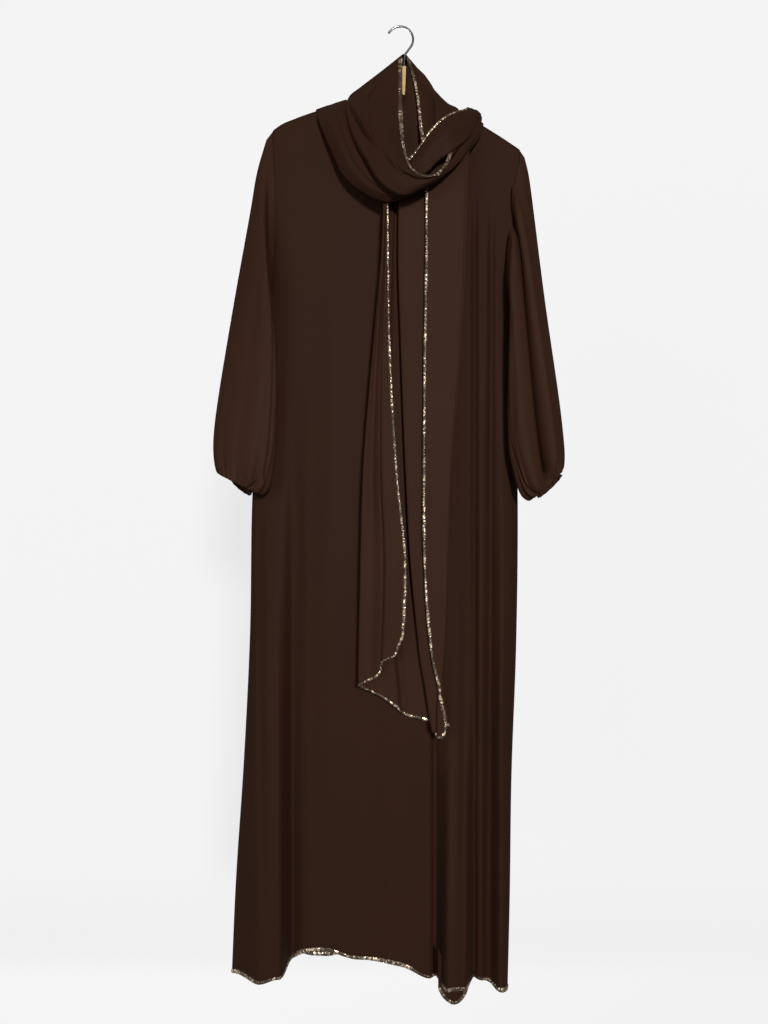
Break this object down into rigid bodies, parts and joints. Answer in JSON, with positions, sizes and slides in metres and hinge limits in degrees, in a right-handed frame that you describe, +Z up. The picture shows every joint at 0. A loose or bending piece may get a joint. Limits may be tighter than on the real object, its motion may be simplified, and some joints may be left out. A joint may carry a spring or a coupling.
{
  "type": "abaya with attached shayla on a hanger",
  "caption": "Long plain abaya with puffed sleeves gathered at the wrist, hung on a wooden hanger, with a wound shayla whose end falls down the front.",
  "frame": {"origin": "inside top of the hanger's hook, where it rests on a rail or peg", "axes": "+Z up, the garment's front faces -Y, +X is to the viewer's right when facing the front"},
  "size_m": [0.567, 0.1503, 1.5396],
  "materials": {
    "cloth": "matte dark chocolate crepe with a faint sheen",
    "wood": "clear lacquered light wood",
    "chrome": "bright chrome wire"
  },
  "bodies": {
    "root": {"body_front": "cloth", "body_back": "cloth", "sleeve_left": "cloth", "sleeve_right": "cloth", "cuff_left": "cloth", "cuff_right": "cloth", "shayla_wrap": "cloth", "shayla_left_fall": "cloth", "shayla_right_fall": "cloth", "shayla_cross": "cloth", "shayla_hood_back": "cloth", "shayla_tail": "cloth", "hanger_body": "wood", "hanger_hook": "chrome"}
  },
  "joints": []
}
